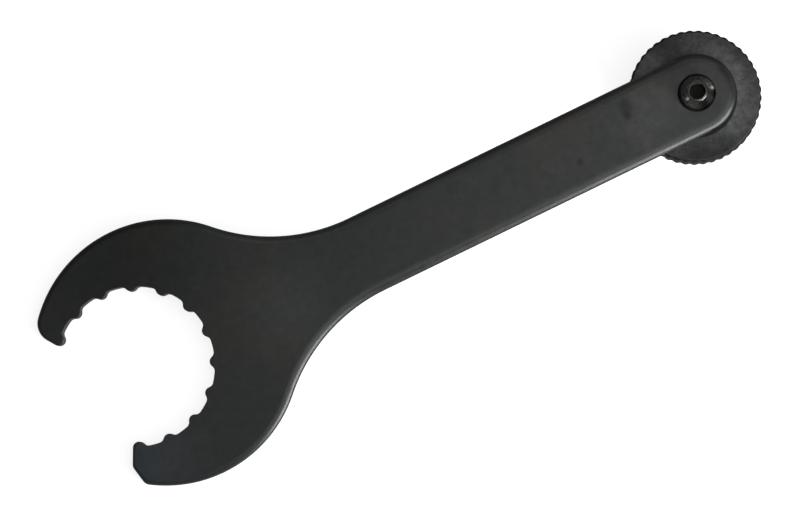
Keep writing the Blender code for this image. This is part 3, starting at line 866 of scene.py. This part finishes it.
# %% Sizes of the washer and its spin
WASHER_RADIUS = 0.0080
WASHER_EDGE = 0.00025


def make_washer():
    """The washer between plate and wheel."""
    high = washer_top - WASHER_EDGE
    low = washer_top - WASHER_THICKNESS + WASHER_EDGE
    outer = WASHER_RADIUS - WASHER_EDGE
    inner = HOLE_RADIUS + WASHER_EDGE
    points = []
    for k, centre in enumerate([(outer, high), (outer, low), (inner, low), (inner, high)]):
        points += arc(centre, WASHER_EDGE, 90 - 90 * k, -90 * k, pieces=4)
    points.append(points[0])
    bm = bmesh.new()
    spun(bm, points, TURNED_STEPS)
    return piece_from("nylon_washer", bm, sharp_degrees=50)


# %% Greasy nylon
WASHER_COLOUR = (0.62, 0.61, 0.57)
GREASY_SHARE = 0.32
CLEAN_SHARE = 0.60


def nylon(name, colour):
    """Plain nylon, which lets some light in, clouded by old grease."""
    finish, tree, shader = finish_of(name, colour, roughness=0.42)
    shader.inputs["Subsurface Weight"].default_value = 0.15
    shader.inputs["Subsurface Scale"].default_value = 0.001
    place = tree.nodes.new("ShaderNodeTexCoord")
    haze = cloud(tree, place, scale=500.0, detail=3.0)
    dark = tuple(value * GREASY_SHARE for value in colour)
    light = tuple(value * CLEAN_SHARE for value in colour)
    tint = ramp(tree, haze, [(0.35, dark), (0.65, light)])
    tree.links.new(tint, shader.inputs["Base Color"])
    bumped(tree, shader, haze, strength=0.15, distance=0.00003)
    return finish


washer = make_washer()
stands_for(washer, "spacer_washer", "wrench", nylon("washer_nylon", WASHER_COLOUR))

# %% [markdown]
# ## The finger wheel and its driver
# The wheel is one moulding: a disc with a knurled rim, and under it an eight-lobed star that fits
# the crank's preload cap. The disc is spun with many columns, and one wave pushes the rim's
# corners in, so all the knurls are alike and none is a copy to join. Flat faces with openings,
# such as the star's end round the nut's pocket, are filled between their outlines.

# %% Sizes of the wheel
WHEEL_RADIUS = 0.01869
RIM_CHAMFER = 0.0008
CHAMFER_STEPS = 4
CHAMFER_CURVE = 1.6
KNURLS = 45
KNURL_COLUMNS = 12
KNURL_START = math.radians(4.5)
KNURL_DEPTH = 0.0003
KNURL_NARROWING = 1.4
KNURL_FINISH = 1
BORE_RADIUS = 0.0033
POCKET_HALF = 0.0053
STAR_LOBES = 8
STAR_WALL = 0.0015
STAR_ROOT = POCKET_HALF / math.cos(math.pi / 6) + STAR_WALL
LOBE_HEIGHT = 0.0010
STAR_CREST = STAR_ROOT + LOBE_HEIGHT
LOBE_RADIUS = 0.0013
VALLEY_RADIUS = 0.0016
STAR_CHAMFER = 0.0005
STAR_FILLET = 0.0006
FILLET_STEPS = 4
STAR_FINENESS = 0.000004


# %% Spin the disc and push in its knurls
def disc_profile():
    """Half of the disc's outline, from the bore's top out and round to its lower face."""
    flat = WHEEL_RADIUS - RIM_CHAMFER
    points = [(BORE_RADIUS, pocket_floor), (BORE_RADIUS, wheel_top)]
    shares = [k / CHAMFER_STEPS for k in range(CHAMFER_STEPS + 1)]
    for share in shares:
        points.append((flat + RIM_CHAMFER * share, wheel_top - RIM_CHAMFER * share**CHAMFER_CURVE))
    for share in reversed(shares):
        points.append((flat + RIM_CHAMFER * share, wheel_bottom + RIM_CHAMFER * share**CHAMFER_CURVE))
    return points


def push_in_knurls(verts):
    """Waves the rim: full crests at the rim's widest, fading out at the two faces."""
    flat = WHEEL_RADIUS - RIM_CHAMFER
    for vert in verts:
        radius = vert.co.xy.length
        if radius > flat + WELD:
            angle = math.atan2(vert.co.y, vert.co.x) - KNURL_START
            wave = math.sin(KNURLS * angle / 2) ** 2
            depth = KNURL_DEPTH * wave**KNURL_NARROWING * min(1.0, (radius - flat) / RIM_CHAMFER)
            vert.co.xy *= (radius - depth) / radius


# %% Draw the star and its wall
def star_circles(grow):
    """Signed circles of the star, grown or shrunk all round by a distance."""
    circles = []
    pitch = math.tau / STAR_LOBES
    for k in range(STAR_LOBES):
        circles.append((at(STAR_CREST - LOBE_RADIUS, k * pitch), LOBE_RADIUS + grow))
        circles.append((at(STAR_ROOT + VALLEY_RADIUS, (k + 0.5) * pitch), -VALLEY_RADIUS + grow))
    return circles


def edges_between(verts):
    """The open edges whose two ends are both in a set of corners."""
    known = set(verts)
    found = {edge for vert in verts for edge in vert.link_edges}
    return [edge for edge in found if all(vert in known for vert in edge.verts)]


def star_wall(bm):
    """The star's side as bridged outlines, and the edges of its first and last outline."""
    levels = [(-STAR_CHAMFER, driver_end), (0.0, driver_end + STAR_CHAMFER)]
    for k in range(FILLET_STEPS + 1):
        angle = math.pi / 2 * k / FILLET_STEPS
        flare = STAR_FILLET * (1 - math.cos(angle))
        levels.append((flare, wheel_bottom - STAR_FILLET * (1 - math.sin(angle))))
    outlines = []
    for grow, height in levels:
        corners, _ = belt(bm, star_circles(grow), height, STAR_FINENESS)
        outlines.append(edges_between(corners))
    for lower, upper in zip(outlines, outlines[1:]):
        bmesh.ops.bridge_loops(bm, edges=lower + upper)
    return outlines[0], outlines[-1]


# %% Join the disc, the star and the nut's pocket
def make_wheel():
    """The finger wheel with its star driver, its nut's pocket and its bore, as one closed mesh."""
    bm = bmesh.new()
    star_low, star_high = star_wall(bm)
    disc = spun(bm, disc_profile(), KNURLS * KNURL_COLUMNS)
    bmesh.ops.remove_doubles(bm, verts=disc, dist=WELD)
    push_in_knurls([vert for vert in disc if vert.is_valid])
    disc_rim = [edge for edge in rim_at(bm, wheel_bottom) if edge not in star_high]
    bore_rim = rim_at(bm, pocket_floor)
    fill_flat(bm, disc_rim + star_high, -1.0)
    pocket_high = ring_of_edges(bm, POCKET_HALF, pocket_floor, 6)
    push_to_hexagon({vert for edge in pocket_high for vert in edge.verts}, POCKET_HALF, pocket_floor)
    low_verts, pocket_low = extrude_rim(bm, pocket_high)
    bmesh.ops.translate(bm, verts=low_verts, vec=(0, 0, driver_end - pocket_floor))
    fill_flat(bm, pocket_high + bore_rim, -1.0)
    fill_flat(bm, pocket_low + star_low, -1.0)
    for face in bm.faces:
        if face.calc_center_median().xy.length > WHEEL_RADIUS - RIM_CHAMFER / 2 - KNURL_DEPTH:
            face.material_index = KNURL_FINISH
    return piece_from("finger_wheel", bm, sharp_degrees=35)


# %% [markdown]
# ### The wheel's finishes
# The wheel is glass-filled nylon, dull and slightly mottled from its mould. Its face is painted black
# in the gap right under the handle's round end, a painted shadow, lighter just outside it, and darker
# towards the rim. These follow the distance from the axis, and soft round patches lie over them:
# stains, which also paint shade on the lower side, and painted light on the upper left, where the
# handle shades the low lamp. The knurls are painted near black, a painted shade, with a material of
# their own.

# %% Dark moulded plastic
PLASTIC_COLOUR = (0.040, 0.041, 0.041)
PLASTIC_TONES = [(0.36, (0.024, 0.025, 0.025)), (0.50, (0.041, 0.042, 0.042)), (0.66, (0.064, 0.063, 0.061))]
PLASTIC_SHEEN = [(0.30, 0.50), (0.70, 0.66)]
# A painted shadow under the handle's round end, then lighter just outside it and darker towards the rim.
FACE_RAMP_AND_PAINTED_SHADOW = [(0.60, 0.10), (0.622, 0.20), (0.638, 1.50), (0.76, 1.35), (0.88, 1.00), (0.955, 0.80)]
FACE_STAINS_AND_PAINTED_LIGHT = [
    # Stains that also paint shade on the lower side, which the low lamp lights.
    ((-0.0060, -0.0150), 0.0120, (0.35, 0.35, 0.35)),
    ((0.0010, -0.0180), 0.0080, (0.50, 0.50, 0.50)),
    ((0.0160, 0.0060), 0.0045, (0.62, 0.62, 0.60)),
    # Painted light where the handle shades the low lamp.
    ((-0.0105, 0.0122), 0.0100, (3.00, 3.00, 3.00)),
]


def dark_plastic():
    """Dark glass-filled nylon, with a painted shadow under the handle's end, lighter just beside it."""
    finish, tree, shader = finish_of("dark_plastic", PLASTIC_COLOUR, roughness=0.58)
    shader.inputs["Specular IOR Level"].default_value = 0.2
    place = tree.nodes.new("ShaderNodeTexCoord")
    mottle = cloud(tree, place, scale=420.0, detail=5.0, rough=0.75)
    tint = ramp(tree, mottle, PLASTIC_TONES)
    where = flattened(tree, tool_place(tree, place))
    share = reach_of(tree, flattened(tree, where, 1 / WHEEL_RADIUS))
    # Painted shadow under the handle's end, and a ramp towards the rim.
    tint = mixed(tree, tint, ramp(tree, share, FACE_RAMP_AND_PAINTED_SHADOW), 1.0, "MULTIPLY")
    # Stains, painted shade and painted light.
    tint = patched(tree, tint, where, FACE_STAINS_AND_PAINTED_LIGHT)
    tree.links.new(tint, shader.inputs["Base Color"])
    tree.links.new(ramp(tree, mottle, PLASTIC_SHEEN), shader.inputs["Roughness"])
    grain = cloud(tree, place, scale=2200.0, detail=3.0)
    bumped(tree, shader, grain, strength=0.35, distance=0.00006)
    return finish


# %% Grimy knurls
# The knurls are painted near black: painted shade between their teeth.
KNURL_SHADE_COLOUR = (0.006, 0.006, 0.006)
KNURL_SHADE_TONES = [(0.36, (0.003, 0.003, 0.003)), (0.66, (0.009, 0.009, 0.009))]


def knurl_painted_shade():
    """Near black on the knurls all round, a painted shade between their teeth."""
    finish, tree, shader = finish_of("knurl_painted_shade", KNURL_SHADE_COLOUR, roughness=0.9)
    shader.inputs["Specular IOR Level"].default_value = 0.1
    place = tree.nodes.new("ShaderNodeTexCoord")
    shade_mottle = cloud(tree, place, scale=900.0, detail=4.0, rough=0.7)
    tree.links.new(ramp(tree, shade_mottle, KNURL_SHADE_TONES), shader.inputs["Base Color"])
    bumped(tree, shader, shade_mottle, strength=0.3, distance=0.00005)
    return finish


wheel = make_wheel()
stands_for(wheel, "preload_wheel", "driver", dark_plastic())
wheel.data.materials.append(knurl_painted_shade())

# %% [markdown]
# ## The lock nut
# A hexagon nut with a collar that holds a ring of nylon. The nut is spun, and its corners are
# then held inside a hexagon, which cuts the flats and leaves the round chamfers at the corners.
# Such nuts are plated with bright zinc, a little hazy from the bath, and their ring is dyed blue.

# %% Sizes of the nut
NUT_HALF = 0.0050
NUT_BORE = 0.0033
NUT_EDGE = 0.0003
CHAMFER_ROWS = 6
COLLAR_HEIGHT = 0.0013
COLLAR_RADIUS = 0.0044
COLLAR_EDGE = 0.0004
COLLAR_LIP = 0.0037
RING_INNER = 0.00315
RING_EDGE = 0.0001
RING_RECESS = 0.0002
RING_TOP_GAP = 0.0001
RING_SIDE_GAP = 0.00005


# %% Spin the nut and flatten its sides
def nut_profile():
    """Half of the nut's section, closed on itself."""
    top = nut_bottom + NUT_HEIGHT
    low = nut_bottom + COLLAR_HEIGHT
    reach = NUT_HALF / math.cos(math.pi / 6) - NUT_HALF
    drop = reach / math.sqrt(3)
    points = [(NUT_BORE + NUT_EDGE, top), (NUT_HALF, top)]
    for k in range(1, CHAMFER_ROWS + 1):
        points.append((NUT_HALF + reach * k / CHAMFER_ROWS, top - drop * k / CHAMFER_ROWS))
    for k in range(CHAMFER_ROWS, -1, -1):
        points.append((NUT_HALF + reach * k / CHAMFER_ROWS, low + drop * k / CHAMFER_ROWS))
    points.append((COLLAR_RADIUS, low))
    points += arc((COLLAR_RADIUS - COLLAR_EDGE, nut_bottom + COLLAR_EDGE), COLLAR_EDGE, 0, -90, pieces=4)
    points += [(COLLAR_LIP, nut_bottom), (COLLAR_LIP, low), (NUT_BORE, low), (NUT_BORE, top - NUT_EDGE)]
    points.append(points[0])
    return points


def make_nut():
    """The nut without its nylon ring."""
    bm = bmesh.new()
    verts = spun(bm, nut_profile(), TURNED_STEPS)
    for vert in verts:
        radius = vert.co.xy.length
        limit = hexagon(NUT_HALF, math.atan2(vert.co.y, vert.co.x))
        if radius > limit:
            vert.co.xy *= limit / radius
    return piece_from("hexagon_lock_nut", bm, sharp_degrees=25)


def make_nut_ring():
    """The nylon ring in the nut's collar."""
    low = nut_bottom + RING_RECESS
    high = nut_bottom + COLLAR_HEIGHT - RING_TOP_GAP
    outer = COLLAR_LIP - RING_SIDE_GAP
    points = [(RING_INNER, high), (outer, high), (outer, low + RING_EDGE), (outer - RING_EDGE, low)]
    points += [(RING_INNER, low), points[0]]
    bm = bmesh.new()
    spun(bm, points, TURNED_STEPS)
    return piece_from("nut_nylon_ring", bm, sharp_degrees=35)


# %% Zinc plate and the ring's blue
ZINC_COLOUR = (0.52, 0.53, 0.54)
ZINC_SHEEN = [(0.3, 0.22), (0.7, 0.42)]
RING_COLOUR = (0.30, 0.38, 0.55)


def zinc_plate():
    """Bright zinc on the nut, with a faint haze."""
    finish, tree, shader = finish_of("bright_zinc", ZINC_COLOUR, roughness=0.30, metallic=1.0)
    place = tree.nodes.new("ShaderNodeTexCoord")
    haze = cloud(tree, place, scale=1500.0, detail=4.0, rough=0.6)
    tree.links.new(ramp(tree, haze, ZINC_SHEEN), shader.inputs["Roughness"])
    bumped(tree, shader, haze, strength=0.1, distance=0.00002)
    return finish


stands_for(make_nut(), "lock_nut", "driver", zinc_plate())
nut_ring = make_nut_ring()
nut_ring.data.materials.append(nylon("ring_nylon", RING_COLOUR))
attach(nut_ring, "driver")
print("nut_nylon_ring sits in the nut's collar")

# %% [markdown]
# ## The floor
# The tool lies on a plain white table. Lit by the lamps alone, the table would come out a pale
# grey. A little light of its own, which only the camera, reflections and glass see, lifts it to
# white, and the tool's shadow stays.

# %% Make the floor
FLOOR_SIZE = 6.0
FLOOR_COLOUR = (0.50, 0.50, 0.50)
FLOOR_LIGHT = (1.0, 1.0, 1.0, 1.0)
FLOOR_LIFT = 0.80


def white_table():
    """Pale table: a diffuse surface, lifted for camera, glossy and transmission rays."""
    finish, tree, shader = finish_of("white_table", FLOOR_COLOUR, roughness=0.9)
    shader.inputs["Specular IOR Level"].default_value = 0.0
    path = tree.nodes.new("ShaderNodeLightPath")
    seen = path.outputs["Is Camera Ray"]
    for kind in ("Is Glossy Ray", "Is Transmission Ray"):
        either = tree.nodes.new("ShaderNodeMath")
        either.operation = "MAXIMUM"
        tree.links.new(seen, either.inputs[0])
        tree.links.new(path.outputs[kind], either.inputs[1])
        seen = either.outputs[0]
    shader.inputs["Emission Color"].default_value = FLOOR_LIGHT
    tree.links.new(times(tree, seen, FLOOR_LIFT), shader.inputs["Emission Strength"])
    return finish


floor_bm = bmesh.new()
bmesh.ops.create_grid(floor_bm, x_segments=1, y_segments=1, size=FLOOR_SIZE / 2)
floor_mesh = bpy.data.meshes.new("table_top")
floor_bm.to_mesh(floor_mesh)
floor_bm.free()
floor_mesh.materials.append(white_table())
floor = in_scene("table_top", floor_mesh)
print("the floor is", FLOOR_SIZE, "m wide")

# %% [markdown]
# ## Soft studio light
# In the photograph the plate grows lighter towards the wheel: a large soft lamp hangs over that
# end, with a small bright core, and the satin coat mirrors both there. A low lamp stands at the
# lower right and draws the bright streak along the rolled lower edges. The opposite edges mirror
# only the dim, even light of the room.

# %% Lamps and world
ROOM_COLOUR = (1.0, 1.0, 1.0, 1.0)
ROOM_LIGHT = 0.22
LAMPS = [
    ("overhead_softbox", (0.22, -0.33, 1.00), (0.08, 0.0, 0.0), 0.85, 0.80, 1.15),
    ("softbox_core", (0.09, 0.02, 0.95), (0.05, 0.0, 0.0), 0.16, 0.16, 4.5),
    ("low_softbox", (0.18, -0.26, 0.09), (0.04, 0.0, 0.02), 0.26, 0.16, 20.0),
]


def soft_lamp(name, place, target, width, height, brightness):
    """A rectangular soft lamp that faces a target. Its brightness is the radiance it shows."""
    light = bpy.data.lights.new(name, "AREA")
    light.shape = "RECTANGLE"
    light.size = width
    light.size_y = height
    light.energy = brightness * math.pi * width * height
    lamp = in_scene(name, light)
    lamp.location = place
    lamp.rotation_euler = (Vector(target) - Vector(place)).to_track_quat("-Z", "Y").to_euler()


for lamp_values in LAMPS:
    soft_lamp(*lamp_values)
world = bpy.data.worlds.new("dim_room")
world.use_nodes = True
background = world.node_tree.nodes["Background"]
background.inputs["Color"].default_value = ROOM_COLOUR
background.inputs["Strength"].default_value = ROOM_LIGHT
bpy.context.scene.world = world
bpy.context.scene.view_settings.view_transform = "Standard"
print("lit by", len(LAMPS), "lamps and a room of", ROOM_LIGHT)

# %% [markdown]
# ## The camera
# The photograph looks almost straight down on the plate. How the plate shows fixes the camera:
# the handle climbs at 25.9 degrees in the picture, the plate's normal leans a little to the upper
# left, and the ring's centre lies at a known pixel. A long lens at about 0.83 m gives the little
# perspective that the jaw's inner walls show.

# %% Place the camera
PHOTO_WIDTH = 800
PHOTO_HEIGHT = 516
FOCAL_PIXELS = 3000.0
SENSOR = 36.0
HANDLE_CLIMB = math.radians(25.93)
NORMAL_LEAN = Vector((-0.0341, 0.0732))
RING_PIXEL = Vector((134.5, 366.2))
RING_DEPTH = 0.8334
SEEN_FROM = 0.01
SEEN_TO = 20.0


def camera_matrix():
    """The camera's place in the world, from how the plate shows in the photograph."""
    normal = Vector((NORMAL_LEAN.x, NORMAL_LEAN.y, math.sqrt(1 - NORMAL_LEAN.length_squared)))
    handle = Vector((math.cos(HANDLE_CLIMB), math.sin(HANDLE_CLIMB), 0.0))
    handle = (handle - normal * handle.dot(normal)).normalized()
    tool_in_camera = Matrix((handle, normal.cross(handle), normal)).transposed().to_4x4()
    tool_in_camera.translation = Vector(
        (
            (RING_PIXEL.x - PHOTO_WIDTH / 2) / FOCAL_PIXELS * RING_DEPTH,
            (PHOTO_HEIGHT / 2 - RING_PIXEL.y) / FOCAL_PIXELS * RING_DEPTH,
            -RING_DEPTH,
        )
    )
    ring_in_world = lay_down @ Matrix.Translation((-PIVOT_DISTANCE, 0, 0))
    return ring_in_world @ tool_in_camera.inverted()


camera_data = bpy.data.cameras.new("photo_camera")
camera_data.sensor_width = SENSOR
camera_data.lens = SENSOR * FOCAL_PIXELS / PHOTO_WIDTH
camera_data.clip_start = SEEN_FROM
camera_data.clip_end = SEEN_TO
camera = in_scene("photo_camera", camera_data)
camera.matrix_world = camera_matrix()
bpy.context.scene.camera = camera
print("camera at", [round(value, 3) for value in camera.matrix_world.translation])
